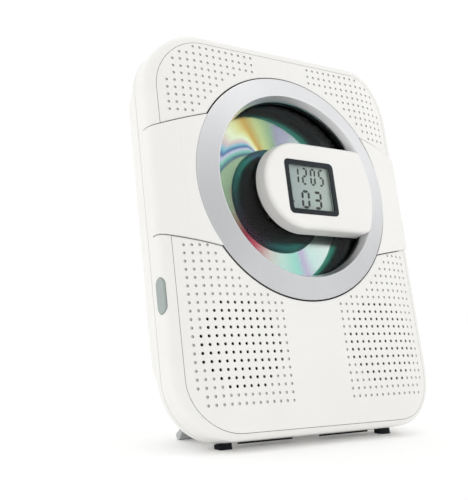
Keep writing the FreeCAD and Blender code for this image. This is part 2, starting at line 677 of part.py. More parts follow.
def speakerCone(side):
    x, z = side * SPEAKER_X, SPEAKER_Z
    cone = Part.makeCone(20.6, 6.0, 6.4, V(x, 6.6, z), V(0, 1, 0))
    cone = cone.cut(Part.makeCone(20.0, 5.2, 6.2, V(x, 6.2, z), V(0, 1, 0)))
    surround = tubeY(21.2, 19.4, x, z, 6.3, 7.0)
    coil = tubeY(4.6, 4.2, x, z, 12.8, 17.4)
    return fuseAll([cone, surround, coil])


def speakerMagnet(side):
    x, z = side * SPEAKER_X, SPEAKER_Z
    ring = tubeY(MAGNET_R, 5.2, x, z, 16.5, MAGNET_Y)
    pole = rodY(3.9, x, z, 14.0, MAGNET_Y)
    plate = rodY(MAGNET_R, x, z, MAGNET_Y, MAGNET_Y + 1.6)
    return fuseAll([ring, pole, plate])


def speakerCloth():
    cloths = [rodY(25.6, x, SPEAKER_Z, PANEL_T + 2.4, PANEL_T + 2.8) for x in (-SPEAKER_X, SPEAKER_X)]
    return group(cloths)


def mainBoard():
    return roundedSlab(-64, 64, 29, 76, 3, 21.8, 23.4)


def boardParts():
    parts = [rodY(4.0, x, 62.0, 23.45, 34.0) for x in (-52, -41, -30)]
    parts += [block(-8, 8, 23.45, 25.6, 46, 62), block(20, 32, 23.45, 25.4, 40, 50)]
    parts += [block(x - 5, x + 5, 23.45, 30.0, 32, 36) for x in (-60, -40, 0, 40, 60)]
    return group(parts)


def batteryCells():
    cells = []
    for z in CELL_Z:
        for x0 in (-52.4, 1.9):
            cells.append(rodX(7.1, 35.2, z, x0, x0 + 49.0))
            cells.append(rodX(2.7, 35.2, z, x0 + 49.0, x0 + 50.5))
    return group([cells[i].fuse(cells[i + 1]) for i in range(0, len(cells), 2)])


def batteryBox():
    box = block(-BAY_HALF, BAY_HALF, 26.0, 43.4, BOX_Z[0], BOX_Z[1])
    box = box.cut(block(-BAY_HALF + 1.6, BAY_HALF - 1.6, 27.4, 60, BOX_Z[0] + 1.6, BOX_Z[1] - 1.6))
    return box.fuse(block(-0.6, 0.6, 26.5, 38.0, BOX_Z[0] + 1, BOX_Z[1] - 1)).removeSplitter()


def batteryContacts():
    plates = []
    for z in CELL_Z:
        for x in (-54.6, -1.0, 0.7, 54.3):
            plates.append(block(x, x + 0.3, 30.4, 40.0, z - 5.5, z + 5.5))
    return group(plates)


def batteryDoorOpening():
    """Rounded above and square along the hinge edge, where the door's ends swing."""
    half, low = BAY_HALF + 1.2, BOX_Z[0] + 0.4
    opening = roundedSlab(-half, half, low, BOX_Z[1] + 0.8, 3, BULGE_BACK - 5, BULGE_BACK + 2)
    return opening.fuse(block(-half, half, BULGE_BACK - 5, BULGE_BACK + 2, low, low + 6)).removeSplitter()


def batteryDoor():
    """A flush cover whose lower edge is rounded, so that it can swing out about that edge."""
    y, z = doorAxis()
    half = BAY_HALF + 0.9
    slab = roundedSlab(-half, half, z - 3, BOX_Z[1] + 0.5, 3, BULGE_BACK - DOOR_T, BULGE_BACK)
    slab = slab.cut(block(-80, 80, 30, 60, z - 5, z))
    edge = rodX(DOOR_T / 2, y, z, -BAY_HALF + 4, BAY_HALF - 4)
    top = BOX_Z[1] - 4
    ribs = [block(-6, 6, BULGE_BACK - 0.4, BULGE_BACK + 0.6, top - 2 * i, top - 2 * i + 0.9) for i in range(3)]
    return fuseAll([slab, edge] + ribs)


def doorAxis():
    return (BULGE_BACK - DOOR_T / 2, BOX_Z[0] + 0.8 + DOOR_T / 2)


def jackBlock(z, bore_r, depth, face_r):
    body = block(76.0, HALF_W - WALL - 0.2, JACK_Y - 2.8, JACK_Y + 2.8, z - 4.6, z + 4.6)
    nose = rodX(face_r, JACK_Y, z, HALF_W - WALL - 0.3, HALF_W + 0.2)
    return body.fuse(nose).removeSplitter().cut(rodX(bore_r, JACK_Y, z, HALF_W + 0.2 - depth, HALF_W + 1))


def headphoneJack():
    return jackBlock(PHONES_Z, 1.78, 12.6, 3.1)


def powerInlet():
    return jackBlock(POWER_Z, 2.7, 9.5, 3.5).fuse(rodX(0.65, JACK_Y, POWER_Z, 80, HALF_W - 1.2))


def caseScrews():
    screws = []
    for x, z in caseScrewPlaces():
        head = rodY(2.6, x, z, RIM_BACK_Y - 1.95, RIM_BACK_Y + 0.2)
        screws.append(rodY(1.2, x, z, 10.0, RIM_BACK_Y - 1.95).fuse(head))
    return group([s.removeSplitter() for s in screws])


def releaseSlot(grow):
    half = BUTTON_W / 2 + grow
    straight = BUTTON_L / 2 - BUTTON_W / 2
    ends = [rodX(half, BUTTON_Y, BUTTON_Z + s * straight, -95, -83) for s in (-1, 1)]
    middle = block(-95, -83, BUTTON_Y - half, BUTTON_Y + half, BUTTON_Z - straight, BUTTON_Z + straight)
    return ends[0].fuse(ends[1]).fuse(middle).removeSplitter()


def releaseButton():
    cap = releaseSlot(0).common(block(-HALF_W - 0.3, -86.5, 0, 30, -100, -40))
    flange = block(-87.7, -86.5, 10.8, BUTTON_Y + 5.0, BUTTON_Z - 11, BUTTON_Z + 11)
    return cap.fuse(flange).removeSplitter()


def latchArm():
    arm = block(-86.45, -84.6, 11.2, 14.6, BUTTON_Z - 4, -36.5)
    hook = block(-86.45, -84.6, 10.6, 12.8, -36.6, -31.6)
    return arm.fuse(hook).removeSplitter()


def releaseSpring():
    """A leaf spring between the latch arm and the case rib."""
    leaf = block(-82.6, -82.2, BUTTON_Y - 2, BUTTON_Y + 2, BUTTON_Z - 9, BUTTON_Z + 9)
    foot = block(-82.3, -79.8, BUTTON_Y - 2, BUTTON_Y + 2, BUTTON_Z - 9, BUTTON_Z - 7.5)
    return leaf.fuse(foot).removeSplitter()


def keyPlaces():
    return [(i - 2) * KEY_PITCH for i in range(len(KEY_NAMES))]


def keyBody(x, w, l, z0, z1):
    straight = l / 2 - w / 2
    ends = [rodZ(w / 2, x + s * straight, KEY_Y, z0, z1) for s in (-1, 1)]
    return fuseAll([ends[0], ends[1], block(x - straight, x + straight, KEY_Y - w / 2, KEY_Y + w / 2, z0, z1)])


def keySlots(grow):
    return group([keyBody(x, KEY_W + 2 * grow, KEY_L + 2 * grow, 80, 95) for x in keyPlaces()])


def key(x):
    cap = keyBody(x, KEY_W, KEY_L, 83.5, TOP_Z + 1.4)
    cap = filletAt(cap, 0.6, lambda m, e: m.z > TOP_Z + 1.39)
    flange = block(x - 8, x + 8, KEY_Y - 4.2, KEY_Y + 4.2, 83.2, 84.3)
    stem = rodZ(1.5, x, KEY_Y, 82.9, 83.5)
    return fuseAll([cap, flange, stem])


def keyBoard():
    return block(-52, 52, 8.0, 16.4, 77.5, 79.1)


def keySwitches():
    switches = []
    for x in keyPlaces():
        body = block(x - 3, x + 3, KEY_Y - 3, KEY_Y + 3, 79.15, 81.3)
        switches.append(body.fuse(rodZ(1.6, x, KEY_Y, 81.3, 82.0)))
    return group([s.removeSplitter() for s in switches])


def wheelSlot():
    return block(80, 95, WHEEL_Y[0] - 0.5, WHEEL_Y[1] + 0.5, WHEEL_Z - 8.4, WHEEL_Z + 8.4)


def volumeWheel():
    wheel = rodY(WHEEL_R, WHEEL_X, WHEEL_Z, WHEEL_Y[0], WHEEL_Y[1])
    wheel = filletAt(wheel, 0.5, lambda m, e: True)
    teeth = 40
    for i in range(teeth):
        a = 2 * math.pi * i / teeth
        x, z = WHEEL_X + (WHEEL_R + 0.25) * math.cos(a), WHEEL_Z + (WHEEL_R + 0.25) * math.sin(a)
        wheel = wheel.cut(rodY(0.5, x, z, WHEEL_Y[0] - 1, WHEEL_Y[1] + 1))
    return wheel.cut(rodY(1.55, WHEEL_X, WHEEL_Z, 0, 30))


def volumePot():
    can = block(WHEEL_X - 5, WHEEL_X + 3.4, WHEEL_Y[1] + 0.6, 21.0, WHEEL_Z - 5, WHEEL_Z + 5)
    return can.fuse(rodY(1.5, WHEEL_X, WHEEL_Z, WHEEL_Y[0] - 0.4, WHEEL_Y[1] + 0.6)).removeSplitter()


def floorZ(y):
    """Height of the table top in the design frame."""
    return FOOT_LOW_Z + (y - FOOT_Y) * math.tan(LEAN)


def frontFeet():
    feet = []
    y0, y1 = FOOT_Y - FOOT_W / 2, FOOT_Y + FOOT_W / 2
    for x in (-FOOT_X, FOOT_X):
        outline = [(y0, floorZ(y0)), (y1, floorZ(y1)), (y1, LOW_Z), (y0, LOW_Z)]
        foot = prismX(outline, x - FOOT_L / 2, x + FOOT_L / 2)
        foot = filletAt(foot, 1.2, lambda m, e: isFootCorner(e))
        feet.append(foot)
    return group(feet)


def isFootCorner(e):
    a, b = e.Vertexes[0].Point, e.Vertexes[-1].Point
    return abs(a.z - b.z) > 1 and abs(a.x - b.x) < 0.01 and abs(a.y - b.y) < 0.01


def undersideStrips():
    return group([block(x0, x1, 20.2, 21.4, LOW_Z - 0.9, LOW_Z) for x0, x1 in [(-46, -10), (10, 46)]])


def standToe():
    """Centre of the rounded toe, resting on the table."""
    y = STAND_TOE_Y
    return (y, floorZ(y) + STAND_TOE_R / math.cos(LEAN))


def rearStand():
    ay, az = STAND_AXIS
    ty, tz = standToe()
    run = math.hypot(ty - ay, tz - az)
    ny, nz = -(tz - az) / run, (ty - ay) / run
    half = 1.5
    outline = [(ay + ny * half, az + nz * half), (ty + ny * half, tz + nz * half),
               (ty - ny * half, tz - nz * half), (ay - ny * half, az - nz * half)]
    plate = prismX(outline, -STAND_HALF, STAND_HALF)
    toe = rodX(STAND_TOE_R, ty, tz, -STAND_HALF, STAND_HALF)
    barrel = rodX(2.4, ay, az, -STAND_HALF, STAND_HALF)
    whole = fuseAll([plate, toe, barrel])
    for x0, x1 in [(-STAND_HALF - 1, -STAND_HALF + 5.4), (STAND_HALF - 5.4, STAND_HALF + 1), (-3.4, 3.4)]:
        whole = whole.cut(rodX(3.1, ay, az, x0, x1))
    return whole.cut(rodX(STAND_PIN_R + 0.06, ay, az, -STAND_HALF - 1, STAND_HALF + 1))


def standPin():
    return rodX(STAND_PIN_R, STAND_AXIS[0], STAND_AXIS[1], -STAND_HALF, STAND_HALF)


def allNodes():
    nodes = {
        "front_shell": frontShell(),
        "upper_grille_panel": grillePanel(True),
        "lower_grille_panel": grillePanel(False),
        "back_shell": backShell(),
        "door_belt": doorBelt(),
        "silver_ring": silverRing(),
        "window_frame": windowFrame(),
        "door_window": doorWindow(),
        "display_pod": displayPod(),
        "display_frame": displayFrame(),
        "display_glass": displayGlass(),
        "display_board": displayBoard(),
        "display_cover": displayCover(),
        "door_hinge_pin": hingePin(),
        "disc_deck": discDeck(),
        "turntable": turntable(),
        "spindle_shaft": spindleShaft(),
        "disc": disc(),
        "drive_chassis": chassis(),
        "chassis_grommets": grommets(),
        "spindle_motor": spindleMotor(),
        "guide_rods": guideRods(),
        "sled_gear": sledGear(),
        "motor_pinion": pinion(),
        "sled_motor": sledMotor(),
        "pickup_carriage": carriage(),
        "pickup_lens": lens(),
        "pickup_rack": rack(),
        "speaker_cloth": speakerCloth(),
        "main_board": mainBoard(),
        "board_parts": boardParts(),
        "battery_box": batteryBox(),
        "battery_cells": batteryCells(),
        "battery_contacts": batteryContacts(),
        "battery_door": batteryDoor(),
        "headphone_jack": headphoneJack(),
        "power_inlet": powerInlet(),
        "case_screws": caseScrews(),
        "release_button": releaseButton(),
        "latch_arm": latchArm(),
        "release_spring": releaseSpring(),
        "key_board": keyBoard(),
        "key_switches": keySwitches(),
        "volume_wheel": volumeWheel(),
        "volume_pot": volumePot(),
        "front_feet": frontFeet(),
        "underside_strips": undersideStrips(),
        "rear_stand": rearStand(),
        "stand_pin": standPin(),
    }
    for side, name in [(-1, "left"), (1, "right")]:
        nodes[name + "_speaker_basket"] = speakerBasket(side)
        nodes[name + "_speaker_cone"] = speakerCone(side)
        nodes[name + "_speaker_magnet"] = speakerMagnet(side)
    for name, x in zip(KEY_NAMES, keyPlaces()):
        nodes[name] = key(x)
    return nodes


def stand(shapes):
    """Lean every shape back and put the feet on Z = 0, with the box centred on X and Y."""
    for shape in shapes:
        shape.rotate(V(0, 0, 0), V(1, 0, 0), -LEAN_DEG)
    box = group(shapes).optimalBoundingBox(False, False)
    sole_z = FOOT_LOW_Z * math.cos(LEAN) - FOOT_Y * math.sin(LEAN)
    shift = V(-(box.XMin + box.XMax) / 2, -(box.YMin + box.YMax) / 2, -sole_z)
    for shape in shapes:
        shape.translate(shift)
    return shift


if __name__ == "__main__":
    made = allNodes()
    moved = stand(list(made.values()))
    print("design zero point stands at", moved.x, moved.y, moved.z)
    for node, shape in made.items():
        shape.exportStep("parts/" + node + ".step")
        print(node, "valid" if shape.isValid() else "INVALID", len(shape.Solids), round(shape.Volume))
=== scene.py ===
import json
import math
import bmesh
import bpy
from mathutils import Matrix, Vector


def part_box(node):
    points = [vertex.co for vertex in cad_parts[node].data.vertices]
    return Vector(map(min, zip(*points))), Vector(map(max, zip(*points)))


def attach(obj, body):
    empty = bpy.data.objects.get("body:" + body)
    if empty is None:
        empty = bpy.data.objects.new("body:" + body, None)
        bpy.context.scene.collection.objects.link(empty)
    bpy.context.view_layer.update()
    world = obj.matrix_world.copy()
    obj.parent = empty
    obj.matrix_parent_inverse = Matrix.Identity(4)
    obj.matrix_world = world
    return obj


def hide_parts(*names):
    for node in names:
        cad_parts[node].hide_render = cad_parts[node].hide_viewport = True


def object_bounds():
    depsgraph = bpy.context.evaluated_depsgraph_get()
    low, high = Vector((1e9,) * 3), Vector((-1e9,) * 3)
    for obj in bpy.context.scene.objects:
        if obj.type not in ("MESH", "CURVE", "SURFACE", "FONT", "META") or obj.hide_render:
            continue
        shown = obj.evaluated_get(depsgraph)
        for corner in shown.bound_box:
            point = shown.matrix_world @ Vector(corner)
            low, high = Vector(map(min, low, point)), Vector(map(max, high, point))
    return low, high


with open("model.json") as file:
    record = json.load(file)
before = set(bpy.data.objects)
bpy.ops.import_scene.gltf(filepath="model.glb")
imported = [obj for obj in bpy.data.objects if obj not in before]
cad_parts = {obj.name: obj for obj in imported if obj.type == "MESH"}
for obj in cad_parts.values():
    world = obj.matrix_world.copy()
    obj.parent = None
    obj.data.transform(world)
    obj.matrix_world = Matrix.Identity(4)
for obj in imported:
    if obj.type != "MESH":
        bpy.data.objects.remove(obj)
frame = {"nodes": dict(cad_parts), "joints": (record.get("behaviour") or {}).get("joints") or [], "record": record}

cadLow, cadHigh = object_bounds()
scene = bpy.context.scene
nodes = frame["nodes"]
joints = {j["name"]: j for j in frame["joints"]}
mm = 0.001

# the leaned case: x across, y inward, z upward, with zero at the disc's axis on the face of the panels
across = Vector((1, 0, 0))
inward = Vector(joints["disc_spin"]["axis"]).normalized()
upward = Vector(joints["door_hinge"]["axis"]).normalized()
caseMatrix = Matrix((across, inward, upward)).transposed().to_4x4()
caseMatrix.translation = Vector(joints["disc_spin"]["pos_m"])


# low and high corner of a node in the case's own directions
def span(node):
    back = caseMatrix.inverted()
    spots = [back @ v.co for v in nodes[node].data.vertices]
    low = Vector([min(s[i] for s in spots) for i in range(3)])
    high = Vector([max(s[i] for s in spots) for i in range(3)])
    return low, high


# small helpers for node trees
def addNode(tree, kind, inputs=None, **settings):
    node = tree.nodes.new("ShaderNode" + kind)
    for name, value in settings.items():
        setattr(node, name, value)
    for key, value in (inputs or {}).items():
        plug(tree, node.inputs[key], value)
    return node


def plug(tree, socket, value):
    if isinstance(value, bpy.types.NodeSocket):
        tree.links.new(value, socket)
    else:
        socket.default_value = value


def calc(tree, operation, a, b=0.0, c=0.0, clamp=False):
    node = addNode(tree, "Math", operation=operation, use_clamp=clamp)
    for socket, value in zip(node.inputs, (a, b, c)):
        plug(tree, socket, value)
    return node.outputs[0]


# 0 before start, 1 after stop, smooth between
def ease(tree, value, start, stop):
    node = addNode(tree, "MapRange", interpolation_type="SMOOTHSTEP", clamp=True)
    plug(tree, node.inputs["Value"], value)
    node.inputs["From Min"].default_value = min(start, stop)
    node.inputs["From Max"].default_value = max(start, stop)
    rising = stop > start
    node.inputs["To Min"].default_value = 0.0 if rising else 1.0
    node.inputs["To Max"].default_value = 1.0 if rising else 0.0
    return node.outputs["Result"]


def mixTones(tree, share, first, second, blend="MIX"):
    node = addNode(tree, "Mix", data_type="RGBA", blend_type=blend, clamp_factor=True)
    plug(tree, node.inputs[0], share)
    plug(tree, node.inputs[6], first if isinstance(first, bpy.types.NodeSocket) else (*first, 1))
    plug(tree, node.inputs[7], second if isinstance(second, bpy.types.NodeSocket) else (*second, 1))
    return node.outputs[2]


def ramp(tree, value, stops):
    node = addNode(tree, "ValToRGB")
    plug(tree, node.inputs[0], value)
    elements = node.color_ramp.elements
    while len(elements) < len(stops):
        elements.new(0.5)
    for element, (place, tone) in zip(elements, stops):
        element.position = place
        element.color = (*tone, 1)
    return node.outputs[0]


def newGroup(name, inputs, outputs):
    tree = bpy.data.node_groups.new(name, "ShaderNodeTree")
    for label, value in inputs.items():
        socket = tree.interface.new_socket(name=label, in_out="INPUT", socket_type="NodeSocketFloat")
        socket.default_value = value
    for label, kind in outputs.items():
        tree.interface.new_socket(name=label, in_out="OUTPUT", socket_type="NodeSocket" + kind)
    return tree, tree.nodes.new("NodeGroupInput").outputs, tree.nodes.new("NodeGroupOutput").inputs


def place(tree, group, **inputs):
    node = tree.nodes.new("ShaderNodeGroup")
    node.node_tree = group
    for label, value in inputs.items():
        plug(tree, node.inputs[label], value)
    return node.outputs


# shared effects
# the fine spark texture of a moulded face, with slow changes of tone and gloss
def makeMouldGrain():
    tree, given, out = newGroup("mouldGrain", {"Grain": 2600.0, "Patch": 22.0},
                                {"Height": "Float", "Tone": "Float", "Gloss": "Float"})
    spot = addNode(tree, "TexCoord").outputs["Object"]
    fine = addNode(tree, "TexNoise", {"Vector": spot, "Scale": given["Grain"], "Detail": 3.0,
                                      "Roughness": 0.6})
    broad = addNode(tree, "TexNoise", {"Vector": spot, "Scale": given["Patch"], "Detail": 2.0})
    smear = addNode(tree, "TexNoise", {"Vector": spot, "Scale": calc(tree, "MULTIPLY", given["Patch"], 3.1),
                                       "Detail": 5.0, "Distortion": 1.4})
    plug(tree, out["Height"], fine.outputs[0])
    plug(tree, out["Tone"], ease(tree, broad.outputs[0], 0.3, 0.7))
    plug(tree, out["Gloss"], ease(tree, smear.outputs[0], 0.35, 0.7))
    return tree


# a mask from ambient occlusion that is 1 down in seams and holes and 0 on open faces: dust there, and painted
# shade where its gain is raised
def makeSeamDustAndShade():
    tree, given, out = newGroup("seamDustAndShade", {"Reach": 0.0012, "Amount": 1.0, "Gain": 1.0}, {"Mask": "Float"})
    shade = addNode(tree, "AmbientOcclusion", {"Distance": given["Reach"]}, samples=6)
    deep = calc(tree, "MULTIPLY", calc(tree, "SUBTRACT", 1.0, shade.outputs["AO"]), given["Gain"])
    plug(tree, out["Mask"], calc(tree, "MULTIPLY", ease(tree, deep, 0.25, 0.95), given["Amount"], clamp=True))
    return tree


# fine lines along one direction, for drawn and turned metal
def makeBrushed():
    tree, given, out = newGroup("brushed", {"Across": 6000.0, "Along": 40.0},
                                {"Height": "Float", "Streak": "Float"})
    spot = addNode(tree, "SeparateXYZ", {0: addNode(tree, "TexCoord").outputs["Object"]})
    stretched = addNode(tree, "CombineXYZ", {0: calc(tree, "MULTIPLY", spot.outputs[0], given["Along"]),
                                             1: calc(tree, "MULTIPLY", spot.outputs[1], given["Across"]),
                                             2: calc(tree, "MULTIPLY", spot.outputs[2], given["Across"])})
    lines = addNode(tree, "TexNoise", {"Vector": stretched.outputs[0], "Scale": 1.0, "Detail": 3.0})
    plug(tree, out["Height"], lines.outputs[0])
    plug(tree, out["Streak"], ease(tree, lines.outputs[0], 0.3, 0.7))
    return tree


mouldGrain = makeMouldGrain()
seamDustAndShade = makeSeamDustAndShade()
brushed = makeBrushed()


# a material whose Principled shader takes the constants on its own sockets
def newFinish(name, **constants):
    material = bpy.data.materials.new(name)
    material.use_nodes = True
    tree = material.node_tree
    shader = tree.nodes["Principled BSDF"]
    for label, value in constants.items():
        shader.inputs[label.replace("_", " ")].default_value = value
    return material, tree, shader.inputs


def bumped(tree, shader, height, depth, strength=1.0):
    bump = addNode(tree, "Bump", {"Height": height, "Strength": strength, "Distance": depth})
    tree.links.new(bump.outputs[0], shader["Normal"])


# moulded plastic: two near tones, patchy gloss, spark grain, and dust and painted shade in the seams
def plastic(name, look):
    material, tree, shader = newFinish(name, Specular_IOR_Level=look.get("specular", 0.5),
                                       Coat_Weight=look.get("coat", 0.0),
                                       Coat_Roughness=look.get("coatRough", 0.1))
    grain = place(tree, mouldGrain, Grain=look["grain"], Patch=look.get("patch", 22.0))
    tone = mixTones(tree, grain["Tone"], look["tone"], look["second"])
    # the ambient-occlusion mask mixes the tone towards a dark colour: dust and painted shade in seams and holes
    dustAndShade = place(tree, seamDustAndShade, Reach=look.get("reach", 0.0012), Amount=look.get("dustAndShade", 0.3),
                 Gain=look.get("gain", 1.0))
    tree.links.new(mixTones(tree, dustAndShade["Mask"], tone, look["dirtAndShade"]), shader["Base Color"])
    rough = calc(tree, "MULTIPLY_ADD", grain["Gloss"], look["roughSpread"], look["rough"])
    tree.links.new(calc(tree, "MULTIPLY_ADD", dustAndShade["Mask"], 0.2, rough), shader["Roughness"])
    bumped(tree, shader, grain["Height"], look["depth"])
    return material


# drawn, turned or cast metal
def metal(name, look):
    material, tree, shader = newFinish(name, Metallic=1.0)
    lines = place(tree, brushed, Across=look["across"], Along=look["along"])
    grain = place(tree, mouldGrain, Grain=look.get("grain", 1500.0), Patch=look.get("patch", 40.0))
    tone = mixTones(tree, lines["Streak"], look["tone"], look["second"])
    tree.links.new(mixTones(tree, grain["Tone"], tone, look["second"]), shader["Base Color"])
    streaked = calc(tree, "MULTIPLY_ADD", lines["Streak"], look["roughSpread"], look["rough"])
    rough = calc(tree, "MULTIPLY_ADD", grain["Gloss"], look["roughSpread"], streaked)
    tree.links.new(rough, shader["Roughness"])
    bumped(tree, shader, lines["Height"], look["depth"])
    return material


# finishes, one dictionary each
whiteShellLook = {"tone": (0.90, 0.893, 0.868), "second": (0.88, 0.872, 0.845), "dirtAndShade": (0.42, 0.40, 0.36),
                  "rough": 0.34, "roughSpread": 0.10, "grain": 2600.0, "depth": 0.000012, "dustAndShade": 0.35,
                  "coat": 0.12, "coatRough": 0.25}
blackPlasticLook = {"tone": (0.006, 0.007, 0.009), "second": (0.010, 0.011, 0.013),
                    "dirtAndShade": (0.03, 0.029, 0.028),
                    "specular": 0.16, "rough": 0.42, "roughSpread": 0.14, "grain": 3000.0, "depth": 0.00002,
                    "dustAndShade": 0.25}
displayRimLook = {"tone": (0.004, 0.009, 0.012), "second": (0.006, 0.012, 0.016), "dirtAndShade": (0.02, 0.02, 0.02),
                  "specular": 0.3, "rough": 0.12, "roughSpread": 0.06, "grain": 2000.0, "depth": 0.000002,
                  "dustAndShade": 0.1}
greyPlasticLook = {"tone": (0.50, 0.51, 0.51), "second": (0.46, 0.47, 0.47), "dirtAndShade": (0.2, 0.2, 0.19),
                   "rough": 0.4, "roughSpread": 0.12, "grain": 2600.0, "depth": 0.000015, "dustAndShade": 0.35}
buttonLook = {"tone": (0.36, 0.41, 0.395), "second": (0.32, 0.37, 0.355), "dirtAndShade": (0.16, 0.17, 0.16),
              "rough": 0.22, "roughSpread": 0.08, "grain": 1600.0, "depth": 0.000006, "dustAndShade": 0.5,
              "coat": 0.5, "coatRough": 0.08, "reach": 0.0025}
rubberLook = {"tone": (0.010, 0.012, 0.015), "second": (0.018, 0.02, 0.023), "dirtAndShade": (0.09, 0.085, 0.08),
              "rough": 0.62, "roughSpread": 0.2, "grain": 1800.0, "depth": 0.00006, "dustAndShade": 0.1,
              "specular": 0.14}
gearLook = {"tone": (0.84, 0.83, 0.78), "second": (0.80, 0.78, 0.72), "dirtAndShade": (0.35, 0.33, 0.28),
            "rough": 0.42, "roughSpread": 0.1, "grain": 2200.0, "depth": 0.00001, "dustAndShade": 0.4}
magnetLook = {"tone": (0.055, 0.056, 0.058), "second": (0.10, 0.10, 0.10), "dirtAndShade": (0.16, 0.12, 0.09),
              "rough": 0.6, "roughSpread": 0.2, "grain": 1400.0, "depth": 0.00008, "dustAndShade": 0.3}
steelLook = {"tone": (0.62, 0.62, 0.64), "second": (0.48, 0.48, 0.50), "rough": 0.2, "roughSpread": 0.1,
             "across": 5200.0, "along": 60.0, "depth": 0.000006}


# satin silver with a fine flake, and painted shade that makes the lower part of the ring darker
def silverPaint():
    material, tree, shader = newFinish("silverPaint", Metallic=0.92, Coat_Weight=0.25, Coat_Roughness=0.2)
    spot = addNode(tree, "TexCoord").outputs["Object"]
    flake = addNode(tree, "TexVoronoi", {"Vector": spot, "Scale": 5200.0})
    glint = addNode(tree, "SeparateColor", {0: flake.outputs["Color"]})
    grain = place(tree, mouldGrain, Grain=2400.0, Patch=26.0)
    height = addNode(tree, "SeparateXYZ", {0: spot}).outputs[2]
    low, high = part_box("silver_ring")
    tone = mixTones(tree, grain["Tone"], (0.80, 0.80, 0.81), (0.76, 0.765, 0.78))
    # painted shade: a darker tone for the lower part of the ring, standing in for its darker reflection there
    lower = mixTones(tree, grain["Tone"], (0.56, 0.565, 0.58), (0.53, 0.535, 0.55))
    tone = mixTones(tree, ease(tree, height, low.z, high.z), lower, tone)
    tree.links.new(mixTones(tree, calc(tree, "MULTIPLY", glint.outputs[0], 0.35), tone, (0.80, 0.81, 0.82)),
                   shader["Base Color"])
    tree.links.new(calc(tree, "MULTIPLY_ADD", glint.outputs[1], 0.08, 0.28), shader["Roughness"])
    bumped(tree, shader, grain["Height"], 0.000006)
    return material


# clear moulding with a light teal tint and faint wipe marks
def windowTint():
    material, tree, shader = newFinish("windowTint", Transmission_Weight=1.0, IOR=1.2)
    grain = place(tree, mouldGrain, Grain=900.0, Patch=30.0)
    tint = mixTones(tree, grain["Tone"], (0.91, 0.97, 0.965), (0.89, 0.955, 0.95))
    tree.links.new(tint, shader["Base Color"])
    tree.links.new(calc(tree, "MULTIPLY_ADD", grain["Gloss"], 0.03, 0.0), shader["Roughness"])
    return material


def clearCover():
    material, tree, shader = newFinish("clearCover", Transmission_Weight=1.0, IOR=1.25)
    grain = place(tree, mouldGrain, Grain=900.0, Patch=60.0)
    tint = mixTones(tree, grain["Tone"], (0.96, 0.97, 0.97), (0.93, 0.95, 0.95))
    tree.links.new(tint, shader["Base Color"])
    tree.links.new(calc(tree, "MULTIPLY_ADD", grain["Gloss"], 0.03, 0.0), shader["Roughness"])
    return material


def lensCoating():
    material, tree, shader = newFinish("lensCoating", Transmission_Weight=0.6, IOR=1.6)
    grain = place(tree, mouldGrain, Grain=900.0, Patch=300.0)
    tree.links.new(mixTones(tree, grain["Tone"], (0.35, 0.45, 0.85), (0.55, 0.35, 0.8)), shader["Base Color"])
    tree.links.new(calc(tree, "MULTIPLY_ADD", grain["Gloss"], 0.03, 0.02), shader["Roughness"])
    return material


# green solder mask over copper tracks
def boardLaminate():
    material, tree, shader = newFinish("boardLaminate", Coat_Weight=0.3, Coat_Roughness=0.15)
    spot = addNode(tree, "TexCoord").outputs["Object"]
    laid = addNode(tree, "Mapping", {"Vector": spot, "Rotation": (1.5708, 0, 0)})
    tracks = addNode(tree, "TexBrick", {"Vector": laid.outputs[0],
                                        "Scale": 260.0, "Mortar Size": 0.06, "Color1": (0, 0, 0, 1),
                                        "Color2": (0, 0, 0, 1), "Mortar": (1, 1, 1, 1)})
    grain = place(tree, mouldGrain, Grain=2400.0, Patch=40.0)
    mask = mixTones(tree, grain["Tone"], (0.02, 0.16, 0.07), (0.03, 0.20, 0.09))
    tree.links.new(mixTones(tree, tracks.outputs["Color"], mask, (0.06, 0.30, 0.13)), shader["Base Color"])
    tree.links.new(calc(tree, "MULTIPLY_ADD", grain["Gloss"], 0.1, 0.35), shader["Roughness"])
    bumped(tree, shader, tracks.outputs["Color"], 0.00003)
    return material


# pressed pulp with fibres
def conePulp():
    material, tree, shader = newFinish("conePulp", Specular_IOR_Level=0.2)
    grain = place(tree, mouldGrain, Grain=1200.0, Patch=90.0)
    pulp = mixTones(tree, grain["Tone"], (0.022, 0.021, 0.020), (0.05, 0.048, 0.045))
    tree.links.new(pulp, shader["Base Color"])
    tree.links.new(calc(tree, "MULTIPLY_ADD", grain["Gloss"], 0.12, 0.75), shader["Roughness"])
    bumped(tree, shader, grain["Height"], 0.00015)
    return material


# black knitted speaker cloth
def grilleCloth():
    material, tree, shader = newFinish("grilleCloth", Specular_IOR_Level=0.15, Sheen_Weight=0.2)
    spot = addNode(tree, "TexCoord").outputs["Object"]
    acrossWave = addNode(tree, "TexWave", {"Vector": spot, "Scale": 900.0}, bands_direction="X")
    upWave = addNode(tree, "TexWave", {"Vector": spot, "Scale": 900.0}, bands_direction="Z")
    weave = calc(tree, "MULTIPLY", acrossWave.outputs["Fac"], upWave.outputs["Fac"])
    tree.links.new(mixTones(tree, weave, (0.004, 0.004, 0.005), (0.016, 0.016, 0.018)), shader["Base Color"])
    tree.links.new(calc(tree, "MULTIPLY_ADD", weave, -0.15, 0.95), shader["Roughness"])
    bumped(tree, shader, weave, 0.0002)
    return material


cellLook = {"can": (0.02, 0.13, 0.06), "second": (0.03, 0.17, 0.08), "metal": (0.6, 0.6, 0.6),
            "pitch": 54.3, "body": 48.6}  # mm between two cells' flat ends, and the printed length


